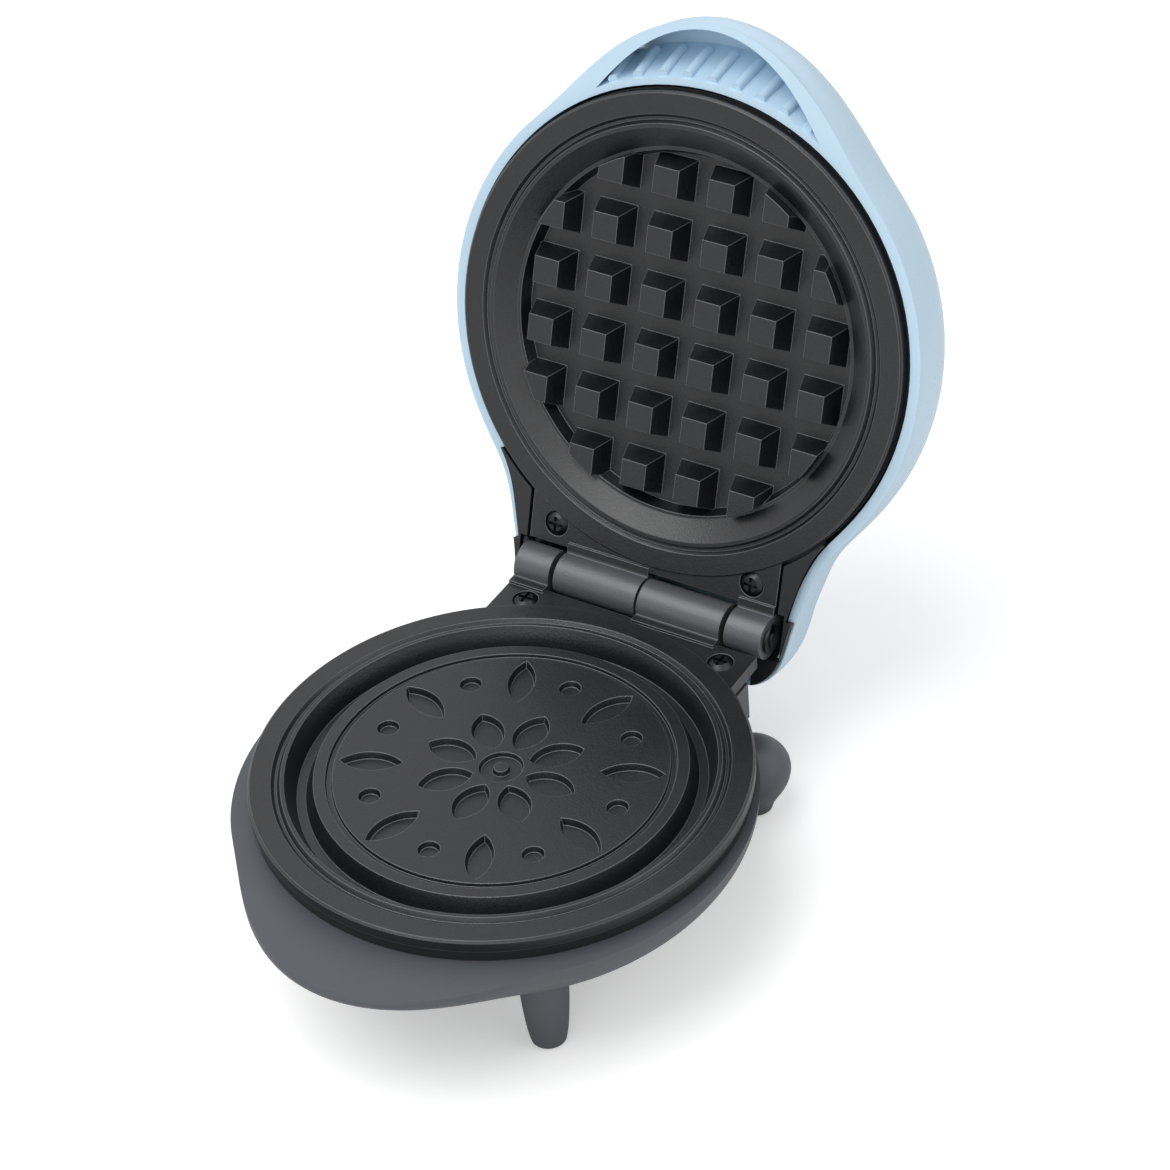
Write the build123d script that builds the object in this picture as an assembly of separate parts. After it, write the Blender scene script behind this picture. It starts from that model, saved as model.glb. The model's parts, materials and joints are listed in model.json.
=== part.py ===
"""Mini waffle maker with its lid standing open, millimetres, +Z up.

The origin lies on the table under the middle of the round plates. +X is to the
right, the hinge is at +Y and the two lips that a hand opens it by are at -Y.
Parts of the lid are drawn closed over the base, then turned open on the hinge.
"""

import math
import os

from build123d import *

# Overall sizes
base_height = 41.0
plate_gap = 1.0
open_angle = 108.3

# Cooking plates
flange_radius = 58.5
flange_thickness = 3.0
flange_edge = 0.5
flange_inner_radius = 53.1
groove_radius = 51.7
groove_depth = 0.9
groove_width = 0.6
bead_radius = 50.0
bead_width = 0.9
bead_crown = 0.25
moat_outer_radius = 47.6
moat_inner_radius = 45.4
moat_depth = 5.0
plateau_radius = 43.4
plateau_drop = 0.75
plate_floor = 3.0
skirt_radius = 50.5
skirt_flare = 3.6
grid_radius = 44.2
grid_edge_drop = 2.9
grid_edge_slope = 1.2
grid_ledge = 0.8
grid_depth = 6.0
grid_pitch = 14.6
grid_count = 6
block_top = 6.9
block_base = 10.6
block_margin = 0.6
block_root = 0.5
block_clearance = 0.2

# Relief in the lower plate
relief_draft = 18.0
petal_depth = 1.7
bud_depth = 1.4
eye_depth = 1.2
ring_depth = 0.85
petal_count = 8
petal_reach = 13.2
petal_length = 13.0
petal_width = 7.6
flower_eye_radius = 5.2
flower_dot_radius = 1.7
leaf_count = 8
leaf_reach = 30.5
leaf_length = 15.0
leaf_width = 6.4
ring_inner_radius = 39.0
ring_outer_radius = 40.6
bud_reach = 31.0
bud_radius = 2.6

# Hinge
hinge_y = 66.5
barrel_radius = 5.25
barrel_split = 0.7
barrel_length = 22.6
end_gap = 1.4
knuckle_end = 34.0
pin_radius = 2.0
pin_clearance = 0.05
pin_overhang = 1.4
clip_bite = 0.5
clip_width = 0.8
clip_radius = 3.6
clip_gap = 0.15
clip_mouth = 1.1
ear_half_width = 34.0
ear_start = 44.0
ear_reach = 60.2
ear_top_drop = 0.8
lug_height = 4.4
lug_drop = 0.6
lug_clearance = 0.2
ear_counterbore = 1.2
screw_x = 27.0
screw_y = 55.0
plate_screw_length = 10.0

# Screws
screw_radius = 1.5
small_screw_radius = 1.0
screw_clearance = 0.15
head_clearance = 0.2
head_ratio = 2.0
head_height_ratio = 1.2
recess_ratio = 0.6
recess_width_ratio = 0.54
recess_arm_ratio = 0.62
head_edge_ratio = 0.5
head_flat_ratio = 0.6

# Base housing
wall = 2.4
seat_ring_height = 3.0
seat_ring_inner = 54.6
seat_ring_outer = 58.0
bowl_radius = 61.0
bowl_shift = 3.5
bowl_bottom = 9.5
bowl_power = 1.9
bowl_flat = 3.0
lip_reach = 10.4
lip_half_angle = 46.0
lip_edge = 3.0
lip_fade = 10.0
lip_power = 1.5
cradle_radius = 11.0
cradle_half_width = 28.6
cradle_wall = 2.2
cradle_start = 45.0
cradle_front = 61.5
neck_half_width = 33.4
neck_start = 40.0
neck_depth = 10.5
neck_reach = 56.5
boss_radius = 3.6
small_boss_radius = 2.4
clamp_boss_radius = 3.0
plate_boss_depth = 8.0
boss_floor = 1.0
ledge_margin = 1.2
ear_clearance = 0.8

# Feet
front_foot = (31.8, -36.8)
rear_foot = (36.2, 52.6)
foot_tip_radius = 4.1
front_foot_radius = 5.6
rear_foot_radius = 8.6
front_foot_top = 25.0
rear_foot_top = 20.5
front_foot_swell = 0.62
rear_foot_swell = 0.72
foot_shoulder = 2.0
foot_root_low = 8.0
foot_root_high = 18.0
foot_root_width = 9.0
foot_root_start = 0.5
foot_root_fillet = 3.0
foot_pad_radius = 2.9
foot_pad_thickness = 0.8

# Cord inlet
gland_height = 17.0
gland_y = 52.5
gland_pad_radius = 7.0
gland_neck_length = 11.0
gland_bore_radius = 3.4
gland_neck_radius = 4.6
gland_flange_radius = 6.0
gland_flange_thickness = 1.6

# Lid
rim_setback = 2.5
lid_depth = 30.0
lid_crown = 2.0
lid_radius = 62.0
lid_power = 3.6
lid_wall = 2.2
lid_handle_reach = 13.0
lid_handle_height = 24.0
lid_handle_power = 2.6
handle_half_angle = 46.0
tail_end = 81.3
tail_side = 52.2
tail_normal = 76.7
tail_height = 25.0
tail_shrink = 17.0
tail_side_share = 0.4
tail_power = 2.2
tail_half_angle = 88.0
outline_sharpness = 30.0
outline_points = 72
lid_outline_steps = (5.0, 11.0, 16.0, 20.0, 24.0, 27.0)
lid_inside_steps = (8.0, 15.0, 20.0, 24.0)

# Finger recess in the lid's handle
recess_inner_radius = 61.0
recess_slope = 0.42
recess_depth = 14.0
recess_half_angle = 37.0
recess_wall = 1.7
recess_core_overlap = 3.0
rib_count = 9
rib_pitch = 6.3
rib_width = 2.5
rib_height = 1.7
rib_length = 11.0
rib_start = 1.0
rib_root = 0.2

# Liner inside the lid
liner_clearance = 0.4
liner_radius = 59.2
liner_inner_radius = 54.0
liner_start = 3.4
liner_height = 3.4
leg_inner = 29.9
leg_start = 54.0
leg_root = 40.0
liner_boss_top = 6.0
cover_start = 62.0
cover_inset = 0.5
liner_screw_angles = (20.8, 128.2)
liner_screw_length = 7.0
liner_boss_height = 17.0
liner_boss_floor = 3.0
leg_proud = 1.8
leg_notch = 1.0
leg_notch_end = 36.6
leg_height = 15.0

# Heating
heater_radius = 31.0
heater_tube = 3.0
heater_sink = 1.6
heater_opening = 50.0
heater_end_length = 11.0
heater_end_radius = 1.2
heater_end_turn = 4.0
shield_radius = 47.5
shield_depth = 8.0
shield_thickness = 0.8
shield_flare = 6.0
shield_rim_width = 2.0
shield_slant = 0.6
shield_hole_margin = 1.4
post_floor = 0.5
shield_screw_reach = 18.0
shield_screw_length = 6.0
thermostat_radius = 7.0
thermostat_height = 4.0
thermostat_fillet = 0.6
blade_half_thickness = 0.4
blade_half_width = 2.0
blade_length = 2.2
blade_spread = 3.5
fuse_radius = 1.7
fuse_length = 12.0
fuse_y = -14.0
fuse_wire_length = 4.0
fuse_wire_radius = 0.6

# Wiring
lead_radius = 0.9
lead_bend = 3.0
lead_clearance = 0.1
lead_bow = 1.0
terminal_width = 16.0
terminal_depth = 12.0
terminal_height = 6.5
terminal_y = 0.0
terminal_fillet = 1.0
terminal_hole_radius = 2.25
terminal_hole_floor = 2.0
clamp_y = 18.0
clamp_half_span = 9.0
clamp_lift = 2.0
clamp_rise = 5.5
clamp_thickness = 2.0
clamp_width = 7.0

# Indicator light
lens_radius = 2.6
lens_y = -30.0
lens_crown = 0.8
lens_length = 5.2
lens_flat_ratio = 0.6
lens_bore_depth = 20.0
lamp_radius = 2.1
lamp_length = 9.0
lamp_fillet_ratio = 0.6

# Fits shared by many pieces
seat_clearance = 0.1
pilot_clearance = 0.05
cut_margin = 1.0
beyond = 100.0

flange_top = base_height
hinge_z = flange_top + plate_gap / 2
head_radius = head_ratio * screw_radius
head_height = head_height_ratio * screw_radius
small_head_radius = head_ratio * small_screw_radius
small_head_height = head_height_ratio * small_screw_radius
housing_top = flange_top - flange_thickness - seat_ring_height
lid_plane = flange_top + plate_gap
lid_rim = lid_plane + rim_setback
plate_bottom = flange_top - max(moat_depth, grid_depth) - plate_floor
ear_thickness = flange_thickness
ear_top = flange_top - ear_top_drop
ear_low = ear_top - ear_thickness
lug_start = screw_y + boss_radius + lug_clearance
lug_low = hinge_z - lug_drop - lug_height
upper_ear_back = 2 * hinge_z - ear_low
upper_lug_back = 2 * hinge_z - lug_low
housing_floor = bowl_bottom + wall
bowl_depth = housing_top - bowl_bottom
neck_low = hinge_z - cradle_radius
leg_low = lid_rim - leg_proud
terminal_top = housing_floor + terminal_height
clamp_seat = housing_floor + clamp_lift
shield_under = plate_bottom - seat_clearance - shield_depth
heater_axis = plate_bottom - heater_tube + heater_sink
heater_end_low = plate_bottom - heater_end_length
liner_low = lid_plane + liner_start
liner_top = liner_low + liner_height
liner_screw_reach = (liner_inner_radius + liner_radius - liner_clearance) / 2
lid_top = lid_rim + lid_depth
lens_low = lid_top + lens_crown - lens_length


def superellipse(share, power):
    """Fall from 1 to 0 as share goes from 0 to 1, round at the shoulder."""
    held = min(max(share, 0.0), 1.0)
    return (1 - held**power) ** (1 / power)


def raised_cosine(angle, half_angle):
    """1 at the front, falling smoothly to 0 at half_angle degrees either side."""
    if abs(angle) >= half_angle:
        return 0.0
    return math.cos(math.radians(90 * angle / half_angle)) ** 2


def closed_outline(radius_at, height):
    """Flat face at a height, bounded by a smooth curve radius_at(degrees from the front)."""
    points = []
    for step in range(outline_points):
        angle = 360 * step / outline_points - 180
        radius = radius_at(angle)
        turn = math.radians(angle)
        points.append((radius * math.sin(turn), -radius * math.cos(turn), height))
    return make_face(Spline(points, periodic=True))


def stacked(radius_at, heights):
    """Solid through the outlines radius_at(angle, height), from the first height to the last."""
    sections = []
    for height in heights:
        sections.append(closed_outline(lambda angle: radius_at(angle, height), height))
    return loft(sections)


def ring(outer, inner, low, high):
    """Plain ring about the vertical axis."""
    outside = Pos(0, 0, (low + high) / 2) * Cylinder(outer, high - low)
    return outside - Pos(0, 0, (low + high) / 2) * Cylinder(inner, high - low + cut_margin)


def upright(radius, low, high, place=(0, 0)):
    """Vertical cylinder between two heights."""
    return Pos(place[0], place[1], (low + high) / 2) * Cylinder(radius, high - low)


def block(x_span, y_span, z_span):
    """Box from its spans along the three axes."""
    middle = [(span[0] + span[1]) / 2 for span in (x_span, y_span, z_span)]
    size = [span[1] - span[0] for span in (x_span, y_span, z_span)]
    return Pos(*middle) * Box(*size)


def across(radius, x_span, y, z):
    """Cylinder along X between two places."""
    middle = (x_span[0] + x_span[1]) / 2
    return Pos(middle, y, z) * Rot(0, 90, 0) * Cylinder(radius, x_span[1] - x_span[0])


def along(radius, y_span, z):
    """Cylinder along Y between two places, in the middle of the width."""
    middle = (y_span[0] + y_span[1]) / 2
    return Pos(0, middle, z) * Rot(90, 0, 0) * Cylinder(radius, y_span[1] - y_span[0])


def turned(profile):
    """Solid of revolution about Z from points (radius, height)."""
    outline = Polyline([(radius, 0, height) for radius, height in profile], close=True)
    return revolve(make_face(outline), axis=Axis.Z)


def both_sides(x, y):
    """The same place right and left of the middle."""
    return [(x, y), (-x, y)]


def opened(shape):
    """Turn a lid part from closed to open on the hinge."""
    return shape.rotate(Axis((0, hinge_y, hinge_z), (1, 0, 0)), -open_angle)


def flipped(shape):
    """Turn a part of the lower half over into its place in the lid."""
    return shape.rotate(Axis((0, 0, hinge_z), (0, 1, 0)), 180)


def write(shape, node):
    """Save one node."""
    export_step(shape, f"parts/{node}.step")


def pan_screw(place, head_top, tip, radius=screw_radius):
    """Cross-head pan screw standing upright with its head at the top."""
    head = head_ratio * radius
    head_low = head_top - head_height_ratio * radius
    dome = turned([
        (0, head_low), (head, head_low), (head, head_low + head_edge_ratio * radius),
        (head_flat_ratio * head, head_top), (0, head_top),
    ])
    cross_floor = head_top - recess_ratio * radius
    arm = recess_arm_ratio * head
    half = recess_width_ratio * radius / 2
    cross = block((-arm, arm), (-half, half), (cross_floor, head_top + cut_margin))
    cross += block((-half, half), (-arm, arm), (cross_floor, head_top + cut_margin))
    screw = dome - cross
    screw += upright(radius, tip, head_low)
    return Pos(place[0], place[1], 0) * screw


# Cooking plates

def plate_profile(inner_points):
    """Half section of a plate casting, from its middle out to the flange and back underneath."""
    top = flange_top
    return inner_points + [
        (bead_radius, top + bead_crown),
        (bead_radius + bead_width, top + bead_crown),
        (groove_radius, top - groove_depth),
        (groove_radius + groove_width, top - groove_depth),
        (flange_inner_radius, top),
        (flange_radius - flange_edge, top),
        (flange_radius, top - flange_edge),
        (flange_radius, top - flange_thickness),
        (skirt_radius + skirt_flare, top - flange_thickness),
        (skirt_radius, top - flange_thickness - skirt_flare),
        (skirt_radius, plate_bottom),
        (0, plate_bottom),
    ]


def hinge_spans():
    """X spans of the lower casting's end knuckle and barrel."""
    end_knuckle = (-knuckle_end, -(barrel_split / 2 + barrel_length + end_gap))
    barrel = (barrel_split / 2, barrel_split / 2 + barrel_length)
    return [end_knuckle, barrel]


def plate_with_hinge(casting):
    """Add the ears, the hinge knuckles and their bores to a plate casting."""
    ears = block((-ear_half_width, ear_half_width), (ear_start, ear_reach), (ear_low, ear_top))
    casting += ears - upright(flange_radius - cut_margin, ear_low - cut_margin, ear_top + cut_margin)
    for span in hinge_spans():
        casting += block(span, (lug_start, hinge_y), (lug_low, hinge_z - lug_drop))
        casting += across(barrel_radius, span, hinge_y, hinge_z)
    casting -= across(pin_radius + pin_clearance, (-beyond, beyond), hinge_y, hinge_z)
    for place in both_sides(screw_x, screw_y):
        casting -= upright(screw_radius + screw_clearance, 0, ear_top + cut_margin, place)
        bore_low = ear_top - ear_counterbore
        casting -= upright(head_radius + head_clearance, bore_low, ear_top + cut_margin, place)
    return casting


def petal(length, width, reach, angle):
    """Pointed oval lying along a radius, as a flat face."""
    half = length / 2
    sagitta = width / 2
    outline = ThreePointArc((reach - half, 0), (reach, sagitta), (reach + half, 0))
    outline += ThreePointArc((reach + half, 0), (reach, -sagitta), (reach - half, 0))
    return Rot(0, 0, angle) * make_face(outline)


def relief_pockets():
    """Flower, leaves and buds that are sunk in the lower plate's plateau."""
    face_height = flange_top - plateau_drop
    pockets = []

    def sink(face, depth):
        pockets.append(Pos(0, 0, face_height) * extrude(face, -depth, taper=relief_draft))

    for number in range(petal_count):
        sink(petal(petal_length, petal_width, petal_reach, 360 * number / petal_count), petal_depth)
    for number in range(leaf_count):
        turn = 360 * (number + 0.5) / leaf_count
        sink(petal(leaf_length, leaf_width, leaf_reach, turn), petal_depth)
        bud = Rot(0, 0, turn + 180 / leaf_count) * Pos(bud_reach, 0) * Circle(bud_radius)
        sink(bud, bud_depth)
    sink(Circle(flower_eye_radius) - Circle(flower_dot_radius), eye_depth)
    sink(Circle(ring_outer_radius) - Circle(ring_inner_radius), ring_depth)
    return pockets


def make_lower_plate():
    """Lower casting: a plateau with its relief inside a moat, the flange and the hinge."""
    top = flange_top
    casting = turned(plate_profile([
        (0, top - plateau_drop),
        (plateau_radius, top - plateau_drop),
        (moat_inner_radius, top - moat_depth),
        (moat_outer_radius, top - moat_depth),
    ]))
    casting = plate_with_hinge(casting)
    return casting - relief_pockets() - heater_groove() + make_shield_posts()


def grid_blocks():
    """Square blocks of the waffle grid, cut off round by the edge of the grid."""
    blocks = []
    middle = (grid_count - 1) / 2
    floor_height = flange_top - grid_depth
    draft = math.degrees(math.atan((block_base - block_top) / 2 / grid_depth))
    for column in range(grid_count):
        for row in range(grid_count):
            x = (column - middle) * grid_pitch
            y = (row - middle) * grid_pitch
            near = math.hypot(abs(x) - block_top / 2, abs(y) - block_top / 2)
            if near > grid_radius - block_margin:
                continue
            base = Pos(x, y, floor_height - block_root) * Rectangle(block_base, block_base)
            blocks.append(extrude(base, grid_depth + block_root, taper=draft))
    clip = upright(grid_radius - block_clearance, floor_height - cut_margin, flange_top)
    return [one & clip for one in blocks]


def make_upper_plate():
    """Upper casting: the waffle grid in its round pan, the flange and the hinge."""
    top = flange_top
    casting = turned(plate_profile([
        (0, top - grid_depth),
        (grid_radius - grid_edge_slope, top - grid_depth),
        (grid_radius, top - grid_edge_drop),
        (grid_radius + grid_ledge, top - grid_edge_drop),
    ]))
    casting = plate_with_hinge(casting) + grid_blocks()
    return casting - heater_groove() + make_shield_posts()


# Heating

def heater_tube_at(radius, tube):
    """Open ring of the heater tube, its gap to the rear, lying partly sunk in the plate."""
    start = 90 + heater_opening / 2
    path = CenterArc((0, 0, heater_axis), radius, start, 360 - heater_opening)
    section = Plane(origin=path @ 0, z_dir=path % 0) * Circle(tube)
    return sweep(section, path=path)


def heater_groove():
    """Groove under a plate that the heater lies in."""
    return heater_tube_at(heater_radius, heater_tube + seat_clearance)


def heater_ends():
    """Places of the heater's two cold ends, left and right."""
    turn = math.radians(heater_opening / 2 + heater_end_turn)
    return both_sides(-heater_radius * math.sin(turn), heater_radius * math.cos(turn))


def make_heater():
    """Tube heater with its two ends turned away from the plate."""
    element = heater_tube_at(heater_radius, heater_tube)
    for place in heater_ends():
        element += upright(heater_end_radius, heater_end_low, heater_axis, place)
    return element


def make_heat_shield():
    """Shallow pressed pan under a plate, its rim against the plate's underside."""
    rim = plate_bottom - seat_clearance
    inner = shield_radius - shield_flare
    rim_inner = shield_radius - shield_rim_width
    pan = turned([
        (0, shield_under), (inner, shield_under), (rim_inner, rim - shield_thickness),
        (shield_radius, rim - shield_thickness), (shield_radius, rim),
        (rim_inner - shield_slant, rim), (inner - shield_slant, shield_under + shield_thickness),
        (0, shield_under + shield_thickness),
    ])
    for place in heater_ends():
        pan -= upright(heater_end_radius + shield_hole_margin, 0, rim, place)
    for place in both_sides(shield_screw_reach, 0):
        pan -= upright(screw_radius + screw_clearance, 0, rim, place)
    return pan


def make_shield_posts():
    """Two posts cast under a plate that the heat shield is screwed to."""
    low = shield_under + shield_thickness + seat_clearance
    posts = []
    for place in both_sides(shield_screw_reach, 0):
        post = upright(boss_radius, low, plate_bottom + cut_margin, place)
        posts.append(post - upright(screw_radius + pilot_clearance, 0, plate_bottom - post_floor, place))
    return posts


def make_shield_screws():
    """Two screws up through the heat shield into the plate's posts."""
    seat = shield_under - seat_clearance / 2 - head_height
    screws = []
    for place in both_sides(shield_screw_reach, 0):
        screw = pan_screw((0, 0), 0, -head_height - shield_screw_length)
        screws.append(Pos(place[0], place[1], seat) * screw.rotate(Axis.X, 180))
    return Compound(children=screws)


def make_thermostat():
    """Round snap thermostat held against a plate's underside, with two blade terminals."""
    top = plate_bottom - seat_clearance / 2
    low = top - thermostat_height
    body = upright(thermostat_radius, low, top)
    body = fillet(body.edges().group_by(Axis.Z)[0], thermostat_fillet)
    for x in (-blade_spread, blade_spread):
        width = (x - blade_half_thickness, x + blade_half_thickness)
        body += block(width, (-blade_half_width, blade_half_width), (low - blade_length, top - cut_margin))
    return body


def make_fuse():
    """Axial thermal fuse lying against a plate's underside, with its two wires."""
    height = plate_bottom - seat_clearance / 2 - fuse_radius
    wire_reach = fuse_length / 2 + fuse_wire_length
    body = across(fuse_radius, (-fuse_length / 2, fuse_length / 2), fuse_y, height)
    return body + across(fuse_wire_radius, (-wire_reach, wire_reach), fuse_y, height)


# Base

def bowl_at(angle, height, inset):
    """Radius of the bowl's round form at an angle from the front and a height, one inset in."""
    share = (housing_top - height) / (bowl_depth + bowl_flat)
    radius = bowl_radius * superellipse(share, bowl_power) - inset
    turn = math.radians(angle)
    shift = bowl_shift * radius / bowl_radius
    return shift * math.cos(turn) + math.sqrt(radius**2 - (shift * math.sin(turn)) ** 2)


def bowl_radius_at(angle, height):
    """Base housing's outer radius: the bowl with its lip at the front."""
    fade = min(max((housing_top - lip_edge - height) / lip_fade, 0.0), 1.0)
    lip = lip_reach * (1 - fade) ** lip_power * raised_cosine(angle, lip_half_angle)
    return bowl_at(angle, height, 0) + lip


def bowl_inner_at(angle, height):
    """Base housing's inner radius: the bowl without the lip, one wall in."""
    return bowl_at(angle, height, wall)


def foot(place, radius, top, swell):
    """Moulded foot, widest at a share of its height, narrowing to a flat tip."""
    low = foot_pad_thickness
    middle = top * swell
    side = Spline([(foot_tip_radius, low), (radius * 0.93, middle * 0.6), (radius, middle),
                   (radius * 0.7, top - foot_shoulder), (0, top)],
                  tangents=[(0.25, 1), (-1, 0)])
    face = make_face(side + Polyline([(0, top), (0, low), (foot_tip_radius, low)]))
    solid = revolve(Rot(90, 0, 0) * face, axis=Axis.Z)
    return Pos(place[0], place[1], 0) * solid


def foot_root(place):
    """Web that joins a rear foot to the bowl."""
    reach = math.hypot(*place)
    slot = SlotCenterToCenter(reach * (1 - foot_root_start), foot_root_width)
    web = extrude(Pos(0, 0, foot_root_low) * slot, foot_root_high - foot_root_low)
    web = fillet(web.edges().group_by(Axis.Z)[0] + web.edges().group_by(Axis.Z)[-1], foot_root_fillet)
    turn = math.degrees(math.atan2(place[1], place[0]))
    return Rot(0, 0, turn) * Pos(reach * (1 + foot_root_start) / 2, 0, 0) * web


def make_ledge():
    """Shelf inside the bowl's rim that the seat ring rests on."""
    def outline_at(angle, height):
        return bowl_inner_at(angle, housing_top) + wall / 2

    shelf = stacked(outline_at, [housing_top - wall, housing_top])
    return shelf - upright(seat_ring_inner - ledge_margin, 0, beyond)


def make_base_housing():
    """Bowl, front lip, hinge cradle and feet, moulded in one."""
    lip_low = housing_top - lip_edge
    heights = [housing_top, lip_low, lip_low - 0.3 * lip_fade, lip_low - lip_fade,
               bowl_bottom + 0.3 * bowl_depth, bowl_bottom + 0.12 * bowl_depth, bowl_bottom]
    shell = stacked(bowl_radius_at, heights)
    neck_width = (-neck_half_width, neck_half_width)
    shell += block(neck_width, (neck_start, neck_reach), (housing_top - neck_depth, housing_top))
    cradle_width = (-cradle_half_width, cradle_half_width)
    cradle = across(cradle_radius, cradle_width, hinge_y, hinge_z)
    cradle += block(cradle_width, (cradle_start, cradle_front), (neck_low, housing_top))
    shell += cradle & block((-beyond, beyond), (0, beyond), (0, housing_top))
    shell += along(gland_pad_radius, (0, gland_y), gland_height)
    for place in both_sides(*rear_foot):
        shell += foot(place, rear_foot_radius, rear_foot_top, rear_foot_swell)
        shell += foot_root(place)
    for place in both_sides(*front_foot):
        shell += foot(place, front_foot_radius, front_foot_top, front_foot_swell)
    inner_heights = [housing_top + cut_margin, housing_top - 0.4 * bowl_depth,
                     housing_floor + 0.3 * bowl_depth, housing_floor + 0.1 * bowl_depth, housing_floor]
    shell -= stacked(bowl_inner_at, inner_heights)
    trough_end = cradle_half_width - cradle_wall
    shell -= across(cradle_radius - cradle_wall, (-trough_end, trough_end), hinge_y, hinge_z)
    shell += make_ledge()
    for place in both_sides(screw_x, screw_y):
        boss_low = housing_top - plate_boss_depth
        boss_top = ear_low - seat_clearance
        shell += upright(boss_radius, boss_low, boss_top, place)
        shell -= upright(screw_radius + pilot_clearance, boss_low + boss_floor, beyond, place)
    shell -= along(gland_neck_radius + seat_clearance, (gland_y - gland_neck_length, beyond), gland_height)
    for place in both_sides(clamp_half_span, clamp_y):
        shell += upright(clamp_boss_radius, housing_floor - cut_margin, clamp_seat, place)
        shell -= upright(screw_radius + pilot_clearance, housing_floor - boss_floor, beyond, place)
    return shell


def make_seat_ring():
    """Heat-proof ring between the housing and the lower plate's flange, open at the ears."""
    body = ring(seat_ring_outer, seat_ring_inner, housing_top, housing_top + seat_ring_height)
    reach = ear_half_width + ear_clearance
    return body - block((-reach, reach), (0, beyond), (0, beyond))


def make_foot_pads():
    """Four soft pads under the feet."""
    pads = []
    for place in both_sides(*front_foot) + both_sides(*rear_foot):
        pads.append(upright(foot_pad_radius, 0, foot_pad_thickness, place))
    return Compound(children=pads)


def make_cord_clamp():
    """Bridge that holds the cord down over the housing's floor."""
    reach = clamp_half_span + boss_radius
    spread = (clamp_y - clamp_width / 2, clamp_y + clamp_width / 2)
    bridge = block((-reach, reach), spread, (clamp_seat, clamp_seat + clamp_thickness))
    bridge += along(clamp_rise, spread, clamp_seat) & block((-reach, reach), spread, (clamp_seat, beyond))
    bridge -= along(clamp_rise - clamp_thickness, (0, beyond), clamp_seat)
    for place in both_sides(clamp_half_span, clamp_y):
        bridge -= upright(screw_radius + screw_clearance, 0, beyond, place)
    return bridge


def make_clamp_screws():
    """Two screws that hold the cord's bridge."""
    head_top = clamp_seat + clamp_thickness + seat_clearance / 2 + head_height
    places = both_sides(clamp_half_span, clamp_y)
    return Compound(children=[pan_screw(place, head_top, housing_floor) for place in places])


def make_terminal_block():
    """Two-pole block on the housing's floor where the cord's wires meet the leads."""
    half = terminal_width / 2
    spread = (terminal_y - terminal_depth / 2, terminal_y + terminal_depth / 2)
    body = block((-half, half), spread, (housing_floor, terminal_top))
    body = fillet(body.edges().filter_by(Axis.Z), terminal_fillet)
    for x in (-half / 2, half / 2):
        hole_low = housing_floor + terminal_hole_floor
        body -= upright(terminal_hole_radius, hole_low, beyond, (x, terminal_y))
    return body


def make_cord_gland():
    """Bush in the rear of the housing that the cord passes through."""
    seat = gland_y + seat_clearance
    gland = along(gland_neck_radius, (gland_y - gland_neck_length, seat), gland_height)
    gland += along(gland_flange_radius, (seat, seat + gland_flange_thickness), gland_height)
    return gland - along(gland_bore_radius, (0, beyond), gland_height)


# Lid

def lid_outline_at(angle, height):
    """Lid's outer radius at an angle from the front and a height."""
    up = height - lid_rim
    dome = superellipse(up / (lid_depth + lid_crown), lid_power)
    main = lid_radius * dome
    handle = lid_handle_reach * superellipse(up / lid_handle_height, lid_handle_power)
    front = main + handle * raised_cosine(angle, handle_half_angle)
    rear_angle = math.radians(180 - abs(angle))
    if rear_angle > math.radians(tail_half_angle):
        return front
    held = superellipse(up / tail_height, tail_power)
    side = dome * (tail_side - tail_shrink * tail_side_share * (1 - held))
    end = dome * (tail_end - tail_shrink * (1 - held))
    tilt = math.radians(tail_normal)
    to_side = side / (math.sin(tilt) * math.sin(rear_angle) + math.cos(tilt) * math.cos(rear_angle))
    to_end = end / math.cos(rear_angle)
    tail = (to_side**-outline_sharpness + to_end**-outline_sharpness) ** (-1 / outline_sharpness)
    return (front**outline_sharpness + tail**outline_sharpness) ** (1 / outline_sharpness)


def lid_inner_at(angle, height):
    """Lid's inner radius: the outline without the handle, one wall in."""
    raised = height + lid_wall / 2
    if abs(angle) > 90:
        return lid_outline_at(angle, raised) - lid_wall
    up = raised - lid_rim
    return lid_radius * superellipse(up / (lid_depth + lid_crown), lid_power) - lid_wall


def lid_inner_heights():
    """Heights of the sections that shape the lid's inside and all that follows it."""
    middle = [lid_rim + step for step in lid_inside_steps]
    return [leg_low - seat_clearance] + middle + [lid_top - lid_wall]


def recess_outline_at(angle, height):
    """Outer side of the finger recess."""
    up = height - lid_rim
    handle = lid_handle_reach * superellipse(up / lid_handle_height, lid_handle_power)
    reach = lid_radius + handle - recess_wall
    start = recess_inner_radius + recess_slope * max(up, 0) - recess_core_overlap
    return start + (reach - start) * raised_cosine(angle, recess_half_angle) ** 0.8


def make_recess():
    """Space for the fingers between the plate's wall and the handle's outer wall."""
    low = lid_rim - cut_margin
    top = lid_rim + recess_depth
    heights = [low, lid_rim + 0.4 * recess_depth, lid_rim + 0.8 * recess_depth, top]
    space = stacked(recess_outline_at, heights)
    core_low = low - cut_margin
    core_top = top + cut_margin
    core_radius = recess_inner_radius + recess_slope * (core_top - lid_rim)
    core = turned([
        (0, core_low), (recess_inner_radius, core_low), (recess_inner_radius, lid_rim),
        (core_radius, core_top), (0, core_top),
    ])
    return space - core


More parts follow.
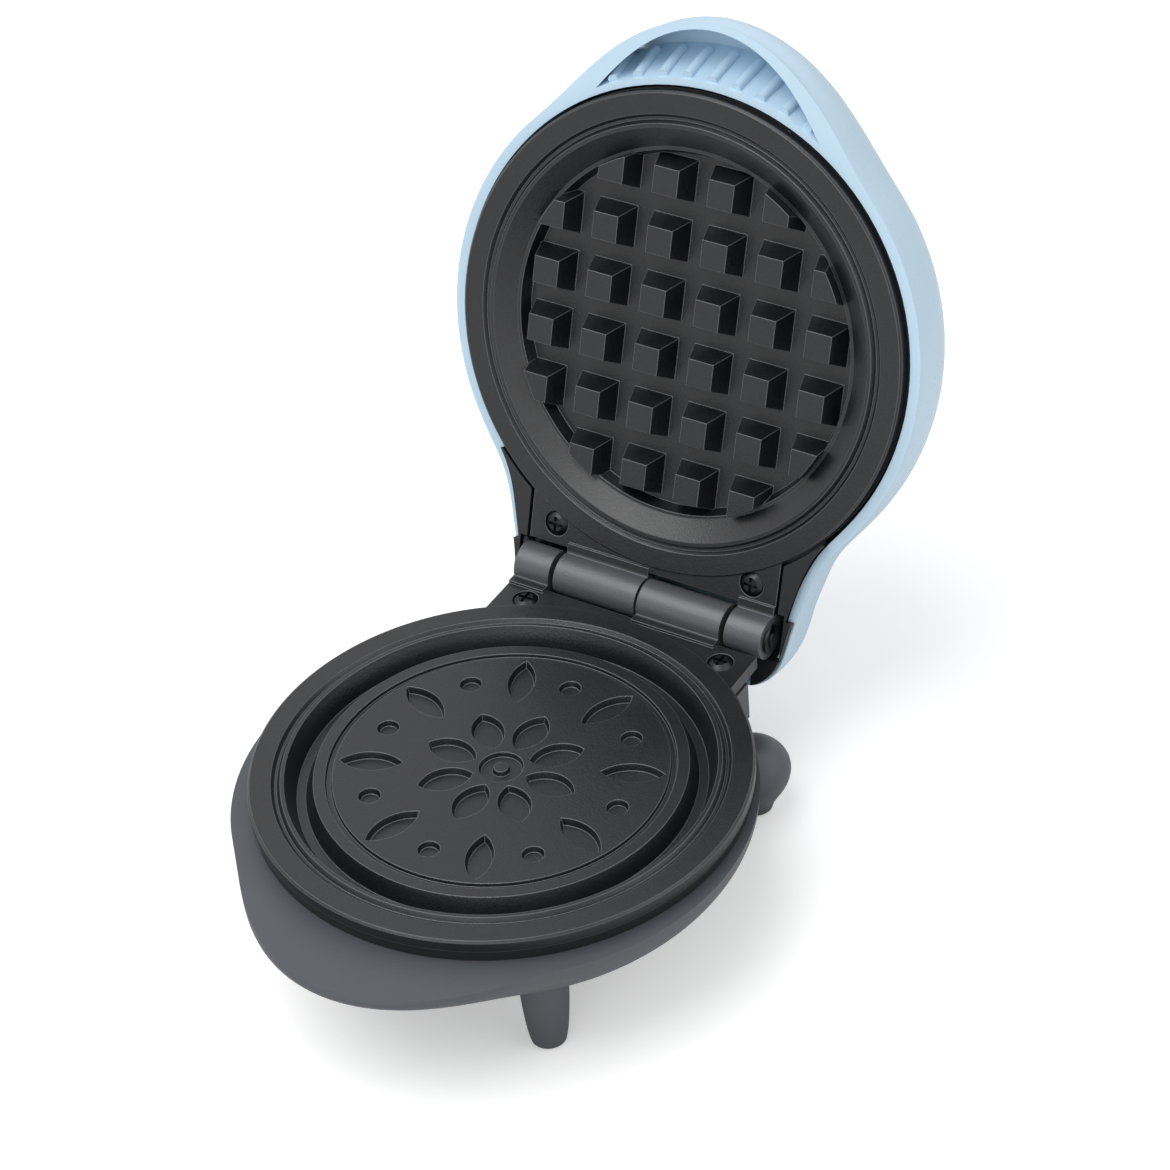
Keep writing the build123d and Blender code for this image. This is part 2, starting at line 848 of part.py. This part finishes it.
def make_ribs():
    """Fins along the recess's sloping inner wall, where the fingertips hold."""
    ribs = []
    lean = math.degrees(math.atan(recess_slope))
    for number in range(rib_count):
        x = (number - (rib_count - 1) / 2) * rib_pitch
        turn = math.degrees(math.asin(x / recess_inner_radius))
        rib = Pos(0, 0, rib_length / 2) * Box(rib_width, 2 * rib_height, rib_length)
        rib = fillet(rib.edges().filter_by(Axis.Z).group_by(Axis.Y)[0], 0.45 * rib_width)
        rib = Rot(lean, 0, 0) * rib
        rib = Pos(0, -recess_inner_radius - rib_root, lid_rim + rib_start) * rib
        ribs.append(Rot(0, 0, turn) * rib)
    return ribs


def liner_screw_places():
    """Where the liner is screwed to the lid's shell."""
    places = []
    for angle in liner_screw_angles:
        turn = math.radians(angle)
        places += both_sides(liner_screw_reach * math.sin(turn), -liner_screw_reach * math.cos(turn))
    return places


def make_lid_shell():
    """Domed cover with the handle, the finger recess and the tail over the hinge."""
    heights = [lid_rim + step for step in lid_outline_steps]
    shell = stacked(lid_outline_at, [lid_rim] + heights + [lid_top])
    shell -= stacked(lid_inner_at, lid_inner_heights())
    shell -= make_recess()
    shell += make_ribs()
    boss_low = liner_top + seat_clearance
    boss_top = lid_rim + liner_boss_height
    for place in liner_screw_places():
        shell += upright(small_boss_radius, boss_low, boss_top, place)
        shell -= upright(small_screw_radius + pilot_clearance, 0, boss_top - liner_boss_floor, place)
    return shell - upright(lens_radius + seat_clearance, lid_top - lens_bore_depth, beyond, (0, lens_y))


def liner_outline_at(angle, height):
    """Outside of the liner, just inside the lid's shell."""
    return lid_inner_at(angle, height) - liner_clearance


def liner_cover_at(angle, height):
    """Outside of the flange on the liner's legs that covers the tail's rim."""
    return lid_outline_at(angle, lid_rim) - cover_inset


def make_lid_liner():
    """Frame inside the lid that carries the upper plate and closes the sides of the hinge."""
    body = ring(liner_radius - liner_clearance, liner_inner_radius, liner_low, liner_top)
    full_width = (-beyond, beyond)
    between_legs = (-leg_inner, leg_inner)
    tail = stacked(liner_outline_at, lid_inner_heights())
    tail &= block(full_width, (leg_root, beyond), (leg_low, lid_rim + leg_height))
    cover = stacked(liner_cover_at, [leg_low, lid_rim - seat_clearance])
    tail += cover & block(full_width, (cover_start, beyond), (leg_low, lid_rim))
    tail -= block(between_legs, (ear_reach + ear_clearance, beyond), (0, beyond))
    tail -= block(full_width, (0, leg_start), (liner_top, beyond))
    tail -= block(between_legs, (0, beyond), (liner_top, beyond))
    tail -= upright(flange_radius + ear_clearance, 0, liner_low)
    tail -= upright(liner_inner_radius, 0, beyond)
    body += tail
    ear_side = ear_half_width + ear_clearance
    ear_back = upper_ear_back + seat_clearance
    lug_back = upper_lug_back + liner_clearance
    body -= block((-ear_side, ear_side), (0, ear_reach + ear_clearance), (0, ear_back))
    body -= block((-ear_side, ear_side), (lug_start - liner_clearance, hinge_y), (0, lug_back))
    for place in both_sides(screw_x, screw_y):
        boss_top = liner_top + liner_boss_top
        body += upright(boss_radius, ear_back, boss_top, place)
        body -= upright(screw_radius + pilot_clearance, 0, boss_top - boss_floor, place)
    counterbore = small_head_height + seat_clearance
    for place in liner_screw_places():
        body -= upright(small_screw_radius + screw_clearance, 0, beyond, place)
        body -= upright(small_head_radius + head_clearance, 0, liner_low + counterbore, place)
    return body - across(barrel_radius + leg_notch, (-leg_notch_end, leg_notch_end), hinge_y, hinge_z)


def make_liner_screws():
    """Screws that hold the liner in the lid, their heads sunk in it on the plate's side."""
    screws = []
    for place in liner_screw_places():
        screw = pan_screw((0, 0), 0, -small_head_height - liner_screw_length, small_screw_radius)
        screw = screw.rotate(Axis.X, 180)
        screws.append(Pos(place[0], place[1], liner_low + seat_clearance / 2) * screw)
    return Compound(children=screws)


def make_lens():
    """Clear lens of the ready light in the top of the lid."""
    shoulder = lid_top
    return Pos(0, lens_y, 0) * turned([
        (0, lens_low), (lens_radius, lens_low), (lens_radius, shoulder),
        (lens_radius * lens_flat_ratio, shoulder + lens_crown), (0, shoulder + lens_crown),
    ])


def make_lamp():
    """Glow lamp standing under the lens."""
    top = lens_low - seat_clearance
    glass = upright(lamp_radius, top - lamp_length, top, (0, lens_y))
    return fillet(glass.edges().group_by(Axis.Z)[-1], lamp_radius * lamp_fillet_ratio)


# Hinge pin

def groove_span(side, margin):
    """X span of the clip groove at one end of the pin, narrowed by a margin at each side."""
    near = knuckle_end + clip_gap + margin
    far = knuckle_end + clip_gap + clip_width - margin
    return tuple(sorted((side * near, side * far)))


def make_pin():
    """Steel pin through all four knuckles, grooved at both ends for its clips."""
    end = knuckle_end + pin_overhang
    pin = across(pin_radius, (-end, end), hinge_y, hinge_z)
    for side in (-1, 1):
        span = groove_span(side, 0)
        groove = across(pin_radius + cut_margin, span, hinge_y, hinge_z)
        pin -= groove - across(pin_radius - clip_bite, span, hinge_y, hinge_z)
    return pin


def make_clips():
    """Open spring clips in the pin's grooves."""
    clips = []
    for side in (-1, 1):
        clip = across(clip_radius, groove_span(side, pin_clearance), hinge_y, hinge_z)
        clip -= across(pin_radius - clip_bite + pin_clearance, (-beyond, beyond), hinge_y, hinge_z)
        mouth = (hinge_y - clip_mouth, hinge_y + clip_mouth)
        clip -= block((-beyond, beyond), mouth, (hinge_z, beyond))
        clips.append(clip)
    return Compound(children=clips)


# Wiring

def lead(points):
    """Insulated wire along straight runs joined by arcs."""
    path = FilletPolyline(points, radius=[lead_bend] * (len(points) - 2))
    section = Plane(origin=path @ 0, z_dir=path % 0) * Circle(lead_radius)
    return sweep(section, path=path)


def make_lower_leads():
    """Leads from the lower heater's ends to the sides of the terminal block."""
    leads = []
    level = housing_floor + terminal_height / 2
    for x, y in heater_ends():
        side = math.copysign(1, x)
        leads.append(lead([
            (x, y, heater_end_low - lead_clearance),
            (x, y, level),
            (x + side * lead_bow, y / 2, level),
            (x, terminal_y, level),
            (side * (terminal_width / 2 + lead_clearance), terminal_y, level),
        ]))
    return Compound(children=leads)


def make_upper_leads():
    """Leads from the upper heater's ends back towards the hinge, drawn in the lower half."""
    leads = []
    for x, y in heater_ends():
        leads.append(lead([
            (x, y, heater_end_low - lead_clearance),
            (x, y, heater_end_low - 6),
            (x * 1.35, y + 15, heater_end_low - 5),
            (x * 1.5, y + 29, heater_end_low + 3),
        ]))
    return Compound(children=leads)


def make_plate_screws():
    """Two screws down through a plate's ears."""
    head_top = ear_top - ear_counterbore + seat_clearance / 2 + head_height
    places = both_sides(screw_x, screw_y)
    tip = ear_top - plate_screw_length
    return Compound(children=[pan_screw(place, head_top, tip) for place in places])


os.makedirs("parts", exist_ok=True)

write(make_lower_plate(), "lower_plate")
write(make_base_housing(), "base_housing")
write(make_foot_pads(), "foot_pads")
write(make_seat_ring(), "base_seat_ring")
write(make_plate_screws(), "lower_plate_screws")
write(make_heater(), "lower_heating_element")
write(make_heat_shield(), "lower_heat_shield")
write(make_shield_screws(), "lower_shield_screws")
write(make_thermostat(), "lower_thermostat")
write(make_fuse(), "lower_thermal_fuse")
write(make_terminal_block(), "terminal_block")
write(make_lower_leads(), "lower_leads")
write(make_cord_clamp(), "cord_clamp")
write(make_clamp_screws(), "cord_clamp_screws")
write(make_cord_gland(), "cord_gland")
write(make_pin(), "hinge_pin")
write(make_clips(), "hinge_pin_clips")

write(opened(make_lid_shell()), "lid_shell")
write(opened(make_lid_liner()), "lid_liner")
write(opened(make_liner_screws()), "lid_liner_screws")
write(opened(flipped(make_upper_plate())), "upper_plate")
write(opened(flipped(make_plate_screws())), "upper_plate_screws")
write(opened(flipped(make_heater())), "upper_heating_element")
write(opened(flipped(make_heat_shield())), "upper_heat_shield")
write(opened(flipped(make_shield_screws())), "upper_shield_screws")
write(opened(flipped(make_thermostat())), "upper_thermostat")
write(opened(flipped(make_upper_leads())), "upper_leads")
write(opened(make_lens()), "indicator_lens")
write(opened(make_lamp()), "indicator_lamp")
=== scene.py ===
"""Mini waffle maker with its lid standing open: its finish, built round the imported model, in metres."""

import json
import math

import bpy
from mathutils import Matrix, Vector

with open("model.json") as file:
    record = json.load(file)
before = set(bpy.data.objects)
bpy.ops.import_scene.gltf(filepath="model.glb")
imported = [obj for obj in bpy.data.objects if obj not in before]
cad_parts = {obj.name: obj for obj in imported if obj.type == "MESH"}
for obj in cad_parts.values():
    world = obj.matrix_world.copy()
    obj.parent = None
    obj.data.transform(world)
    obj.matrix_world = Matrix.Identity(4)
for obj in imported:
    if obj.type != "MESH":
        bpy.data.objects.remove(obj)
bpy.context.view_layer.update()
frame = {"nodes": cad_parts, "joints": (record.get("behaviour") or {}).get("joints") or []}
hinge = Vector(frame["joints"][0]["pos_m"])
mm = 0.001


# Camera. A long lens looks down on the open iron over its right front edge, with the
# picture tilted a few degrees clockwise.
camera_place = Vector((0.38513, -0.53737, 0.61717))
camera_aim = Vector((0.043158, -0.023862, 0.126211))
camera_roll = math.radians(-4.80)
camera_lens = 117.43

camera_data = bpy.data.cameras.new("camera")
camera_data.lens = camera_lens
camera = bpy.data.objects.new("camera", camera_data)
bpy.context.scene.collection.objects.link(camera)
bpy.context.scene.camera = camera
camera_turn = (camera_aim - camera_place).to_track_quat("-Z", "Y").to_matrix().to_4x4()
camera.matrix_world = Matrix.Translation(camera_place) @ camera_turn @ Matrix.Rotation(camera_roll, 4, "Z")


# Light. Three large soft boxes in a white room: the main one high over the front left of the
# iron, a weaker one in front of it and one to the right. Each has its place, width and power.
bpy.context.scene.view_settings.view_transform = "Standard"
white = (1, 1, 1, 1)
room_strength = 0.50
light_aim = Vector((0, 0.02, 0.06))
soft_boxes = {
    "main_light": ((-0.35, -0.45, 1.45), 1.30, 16.0),
    "front_light": ((0.35, -1.30, 0.70), 1.10, 3.0),
    "side_light": ((1.20, 0.25, 0.85), 1.00, 3.2),
}


def linear(colour):
    """Linear red, green, blue and alpha of an sRGB hex colour."""
    shares = [int(colour[at:at + 2], 16) / 255 for at in (1, 3, 5)]
    return [v / 12.92 if v <= 0.04045 else ((v + 0.055) / 1.055) ** 2.4 for v in shares] + [1.0]


def add_node(tree, kind, inputs=None, **settings):
    """Add a node with its properties set, and its inputs linked from sockets or set to values."""
    node = tree.nodes.new(kind)
    for name, value in settings.items():
        setattr(node, name, value)
    for name, value in (inputs or {}).items():
        if isinstance(value, bpy.types.NodeSocket):
            tree.links.new(value, node.inputs[name])
        else:
            node.inputs[name].default_value = value
    return node


for light_name, (place, width, power) in soft_boxes.items():
    light_data = bpy.data.lights.new(light_name, "AREA")
    light_data.size = width
    light_data.energy = power
    light = bpy.data.objects.new(light_name, light_data)
    light_turn = (light_aim - Vector(place)).to_track_quat("-Z", "Y").to_matrix().to_4x4()
    light.matrix_world = Matrix.Translation(place) @ light_turn
    bpy.context.scene.collection.objects.link(light)

room = bpy.data.worlds.new("white_room")
bpy.context.scene.world = room
room.use_nodes = True
room.node_tree.nodes.clear()
rays = add_node(room.node_tree, "ShaderNodeLightPath")
dim = add_node(room.node_tree, "ShaderNodeBackground", {"Color": white, "Strength": room_strength})
bright = add_node(room.node_tree, "ShaderNodeBackground", {"Color": white, "Strength": 1.0})
mirrored = add_node(room.node_tree, "ShaderNodeMath", {0: rays.outputs["Is Transmission Ray"],
                                                       1: rays.outputs["Is Glossy Ray"]},
                    operation="MAXIMUM")
straight = add_node(room.node_tree, "ShaderNodeMath", {0: rays.outputs["Is Camera Ray"],
                                                       1: mirrored.outputs[0]}, operation="MAXIMUM")
room_mix = add_node(room.node_tree, "ShaderNodeMixShader", {0: straight.outputs[0],
                                                            1: dim.outputs[0], 2: bright.outputs[0]})
add_node(room.node_tree, "ShaderNodeOutputWorld", {"Surface": room_mix.outputs[0]})


# Floor. A wide sheet of white paper that takes the iron's soft shadow and is otherwise as
# bright as the room behind it.
floor_half = 4.0
floor_colour = "#f2f2f2"
floor_glow = 0.34

floor_mesh = bpy.data.meshes.new("floor")
floor_mesh.from_pydata([(-floor_half, -floor_half, 0), (floor_half, -floor_half, 0),
                        (floor_half, floor_half, 0), (-floor_half, floor_half, 0)], [], [(0, 1, 2, 3)])
floor = bpy.data.objects.new("floor", floor_mesh)
bpy.context.scene.collection.objects.link(floor)
paper = bpy.data.materials.new("white_paper")
paper.use_nodes = True
paper.node_tree.nodes.clear()
floor_rays = add_node(paper.node_tree, "ShaderNodeLightPath")
seen = add_node(paper.node_tree, "ShaderNodeMath", {0: floor_rays.outputs["Is Camera Ray"], 1: floor_glow},
                operation="MULTIPLY")
glow = add_node(paper.node_tree, "ShaderNodeEmission", {"Color": white, "Strength": seen.outputs[0]})
matt = add_node(paper.node_tree, "ShaderNodeBsdfDiffuse", {"Color": linear(floor_colour)})
both = add_node(paper.node_tree, "ShaderNodeAddShader", {0: glow.outputs[0], 1: matt.outputs[0]})
add_node(paper.node_tree, "ShaderNodeOutputMaterial", {"Surface": both.outputs[0]})
floor_mesh.materials.append(paper)


# Base housing. One bowl with its front lip, hinge cradle and feet, injection moulded in
# charcoal grey ABS with a fine spark-eroded texture.
housing_colour = "#494c52"
noise_low, noise_high = 0.3, 0.7
cloud_size = 40 * mm
plastic_spread = 0.05
plastic_bump = 0.6
plastic_ior = 1.52


def new_material(name):
    """Empty node material with its output, its principled shader and object coordinates."""
    material = bpy.data.materials.new(name)
    material.use_nodes = True
    tree = material.node_tree
    tree.nodes.clear()
    shader = add_node(tree, "ShaderNodeBsdfPrincipled")
    add_node(tree, "ShaderNodeOutputMaterial", {"Surface": shader.outputs[0]})
    place = add_node(tree, "ShaderNodeTexCoord").outputs["Object"]
    return material, tree, shader, place


def moulded_plastic(name, colour, roughness, grain=0.45 * mm, relief=0.03 * mm, shade=0.06):
    """Injection-moulded plastic: even colour, a fine grain in the gloss and slow uneven shine."""
    material, tree, shader, place = new_material(name)
    fine = add_node(tree, "ShaderNodeTexNoise", {"Vector": place, "Scale": 1 / grain, "Detail": 2.0})
    broad = add_node(tree, "ShaderNodeTexNoise", {"Vector": place, "Scale": 1 / cloud_size, "Detail": 3.0})
    tint = add_node(tree, "ShaderNodeMapRange", {"Value": broad.outputs["Fac"],
                                                 "From Min": noise_low, "From Max": noise_high,
                                                 "To Min": 1 - shade, "To Max": 1 + shade})
    paint = add_node(tree, "ShaderNodeVectorMath", {0: linear(colour)[:3]}, operation="SCALE")
    tree.links.new(tint.outputs["Result"], paint.inputs["Scale"])
    tree.links.new(paint.outputs[0], shader.inputs["Base Color"])
    shine = add_node(tree, "ShaderNodeMapRange", {"Value": fine.outputs["Fac"],
                                                  "From Min": noise_low, "From Max": noise_high,
                                                  "To Min": roughness - plastic_spread,
                                                  "To Max": roughness + plastic_spread})
    tree.links.new(shine.outputs["Result"], shader.inputs["Roughness"])
    bump = add_node(tree, "ShaderNodeBump", {"Height": fine.outputs["Fac"], "Strength": plastic_bump,
                                             "Distance": relief})
    tree.links.new(bump.outputs["Normal"], shader.inputs["Normal"])
    shader.inputs["IOR"].default_value = plastic_ior
    return material


def dress(node, material):
    """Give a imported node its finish."""
    piece = frame["nodes"][node]
    piece.data.materials.clear()
    piece.data.materials.append(material)


housing_plastic = moulded_plastic("charcoal_abs", housing_colour, 0.48)
dress("base_housing", housing_plastic)


# Foot pads, cord bush, seat ring and thermostats. Moulded in black rubber or in black
# heat-proof phenolic, each held by its neighbours.
pad_rubber = moulded_plastic("black_rubber", "#1b1b1c", 0.7)
phenolic = moulded_plastic("black_phenolic", "#17181a", 0.42)
for node in ("foot_pads", "cord_gland"):
    dress(node, pad_rubber)
for node in ("base_seat_ring", "lower_thermostat", "upper_thermostat"):
    dress(node, phenolic)


# Cooking plates. Pressure-cast aluminium under a black non-stick coat that is sprayed and
# baked, so the faces keep a fine grainy sheen, with a painted highlight on the edges and hinge barrels.
coat_colour = "#111215"
coat_grain = 0.55 * mm
coat_relief = 0.09 * mm
coat_bump = 0.8
coat_clouds = 18 * mm
coat_ior = 1.55
gloss_low, gloss_high = 0.30, 0.40
speck_dark, speck_light = 0.7, 1.7
speck_start, speck_full = 0.35, 0.7
# Painted highlight and sheen: a light metallic colour mixed into the coat on the edges and on the hinge
# barrels
highlight_colour = "#a4a7ae"
highlight_metal = 0.7
edge_round = 0.35 * mm
edge_samples = 8
edge_highlight_share = 0.35
edge_start, edge_full = 0.995, 0.90
# Painted sheen on the hinge barrels: how far from the axis it reaches, its fade and its share
barrel_reach = 5.6 * mm
barrel_fade = 0.4 * mm
barrel_sheen_share = 0.22
mix_first, mix_second, mix_colour = 6, 7, 2


def nonstick_coat(name):
    """Baked non-stick coat: near black and grainy, with a painted highlight on the edges and painted sheen on
    the hinge barrels.
    """
    material, tree, shader, place = new_material(name)
    fine = add_node(tree, "ShaderNodeTexNoise", {"Vector": place, "Scale": 1 / coat_grain, "Detail": 3.0,
                                                 "Roughness": 0.65})
    broad = add_node(tree, "ShaderNodeTexNoise", {"Vector": place, "Scale": 1 / coat_clouds, "Detail": 2.0})

    # Distance from the hinge's axis, which runs along X
    to_hinge = add_node(tree, "ShaderNodeVectorMath", {0: place, 1: tuple(hinge)}, operation="SUBTRACT")
    flat = add_node(tree, "ShaderNodeVectorMath", {0: to_hinge.outputs[0], 1: (0, 1, 1)}, operation="MULTIPLY")
    away = add_node(tree, "ShaderNodeVectorMath", {0: flat.outputs[0]}, operation="LENGTH")
    # Painted sheen on the hinge barrels: within barrel_reach of the axis the coat is mixed towards the light
    # metallic colour
    barrel = add_node(tree, "ShaderNodeMapRange", {"Value": away.outputs["Value"], "From Min": barrel_reach,
                                                   "From Max": barrel_reach + barrel_fade,
                                                   "To Min": barrel_sheen_share, "To Max": 0.0})

    # Edges, found where the rounded normal leaves the face's own
    rounded = add_node(tree, "ShaderNodeBevel", {"Radius": edge_round}, samples=edge_samples)
    face = add_node(tree, "ShaderNodeNewGeometry")
    turn = add_node(tree, "ShaderNodeVectorMath", {0: rounded.outputs[0], 1: face.outputs["Normal"]},
                    operation="DOT_PRODUCT")
    edge = add_node(tree, "ShaderNodeMapRange", {"Value": turn.outputs["Value"], "From Min": edge_start,
                                                 "From Max": edge_full, "To Min": 0.0, "To Max": 1.0})

    speck = add_node(tree, "ShaderNodeMapRange", {"Value": fine.outputs["Fac"],
                                                  "From Min": speck_start, "From Max": speck_full,
                                                  "To Min": speck_dark, "To Max": speck_light})
    paint = add_node(tree, "ShaderNodeVectorMath", {0: linear(coat_colour)[:3]}, operation="SCALE")
    tree.links.new(speck.outputs["Result"], paint.inputs["Scale"])
    # Painted highlight on the edges; the larger of it and the barrels' painted sheen mixes the coat towards
    # the light metallic colour
    painted_edge_highlight = add_node(tree, "ShaderNodeMath", {0: edge.outputs["Result"], 1: edge_highlight_share}, operation="MULTIPLY")
    painted_highlight = add_node(tree, "ShaderNodeMath", {0: barrel.outputs["Result"], 1: painted_edge_highlight.outputs[0]},
                      operation="MAXIMUM")
    colour = add_node(tree, "ShaderNodeMix", {0: painted_highlight.outputs[0], mix_first: paint.outputs[0],
                                              mix_second: linear(highlight_colour)}, data_type="RGBA")
    tree.links.new(colour.outputs[mix_colour], shader.inputs["Base Color"])
    metal = add_node(tree, "ShaderNodeMath", {0: painted_highlight.outputs[0], 1: highlight_metal}, operation="MULTIPLY")
    tree.links.new(metal.outputs[0], shader.inputs["Metallic"])
    shine = add_node(tree, "ShaderNodeMapRange", {"Value": broad.outputs["Fac"],
                                                  "From Min": noise_low, "From Max": noise_high,
                                                  "To Min": gloss_low, "To Max": gloss_high})
    tree.links.new(shine.outputs["Result"], shader.inputs["Roughness"])
    bump = add_node(tree, "ShaderNodeBump", {"Height": fine.outputs["Fac"], "Strength": coat_bump,
                                             "Distance": coat_relief, "Normal": rounded.outputs[0]})
    tree.links.new(bump.outputs["Normal"], shader.inputs["Normal"])
    shader.inputs["IOR"].default_value = coat_ior
    return material


coat = nonstick_coat("nonstick_on_cast_aluminium")
dress("lower_plate", coat)
dress("upper_plate", coat)


# Screws, hinge pin, clips, heaters and shields. Blackened or zinc-plated steel, oxidised steel
# tube and pressed aluminium, turned, bent or stamped.
metal_grain = 0.6 * mm
metal_spread = 0.06


def plain_metal(name, colour, roughness):
    """Machined or pressed metal with fine uneven shine."""
    material, tree, shader, place = new_material(name)
    fine = add_node(tree, "ShaderNodeTexNoise", {"Vector": place, "Scale": 1 / metal_grain, "Detail": 2.0})
    shine = add_node(tree, "ShaderNodeMapRange", {"Value": fine.outputs["Fac"],
                                                  "From Min": noise_low, "From Max": noise_high,
                                                  "To Min": roughness - metal_spread,
                                                  "To Max": roughness + metal_spread})
    tree.links.new(shine.outputs["Result"], shader.inputs["Roughness"])
    shader.inputs["Base Color"].default_value = linear(colour)
    shader.inputs["Metallic"].default_value = 1.0
    return material


black_steel = plain_metal("blackened_steel", "#3a3b3d", 0.38)
zinc = plain_metal("zinc_plated_steel", "#b9bcc0", 0.32)
oxidised = plain_metal("oxidised_steel_tube", "#6f6a63", 0.5)
sheet = plain_metal("pressed_aluminium", "#d3d4d6", 0.35)
for node in ("lower_plate_screws", "upper_plate_screws", "hinge_pin", "hinge_pin_clips"):
    dress(node, black_steel)
for node in ("lower_shield_screws", "upper_shield_screws", "cord_clamp_screws", "lid_liner_screws",
             "lower_thermal_fuse"):
    dress(node, zinc)
for node in ("lower_heating_element", "upper_heating_element"):
    dress(node, oxidised)
for node in ("lower_heat_shield", "upper_heat_shield"):
    dress(node, sheet)


# Wiring inside the base and the lid. Off-white glass sleeves, a pale terminal block and a grey
# bridge that clamps the cord.
sleeve = moulded_plastic("glass_sleeve", "#d9d4c6", 0.8)
terminal = moulded_plastic("terminal_resin", "#d8d5cc", 0.45)
for node in ("lower_leads", "upper_leads"):
    dress(node, sleeve)
dress("terminal_block", terminal)
dress("cord_clamp", housing_plastic)


# Lid shell. One domed cover with its handle, finger recess and tail, injection moulded in
# pale blue ABS with a satin face.
lid_colour = "#bcd6e8"
lid_plastic = moulded_plastic("pale_blue_abs", lid_colour, 0.32, grain=0.6 * mm, relief=0.012 * mm,
                              shade=0.02)
dress("lid_shell", lid_plastic)


# Lid liner. A black heat-proof frame round the upper plate, screwed into the shell, with two
# legs beside the hinge.
dress("lid_liner", phenolic)


# Ready light. A clear moulded lens in the top of the lid over a small glow lamp.
ripple_size = 1.5 * mm
ripple_depth = 0.02 * mm
ripple_bump = 0.2
clearness = 0.85


def clear_plastic(name, colour, roughness):
    """Clear moulded plastic or glass with a faint ripple."""
    material, tree, shader, place = new_material(name)
    ripple = add_node(tree, "ShaderNodeTexNoise", {"Vector": place, "Scale": 1 / ripple_size})
    bump = add_node(tree, "ShaderNodeBump", {"Height": ripple.outputs["Fac"], "Strength": ripple_bump,
                                             "Distance": ripple_depth})
    tree.links.new(bump.outputs["Normal"], shader.inputs["Normal"])
    shader.inputs["Base Color"].default_value = linear(colour)
    shader.inputs["Roughness"].default_value = roughness
    shader.inputs["Transmission Weight"].default_value = clearness
    return material


dress("indicator_lens", clear_plastic("clear_acrylic", "#f4f6f8", 0.08))
dress("indicator_lamp", clear_plastic("amber_glass", "#f0a860", 0.15))
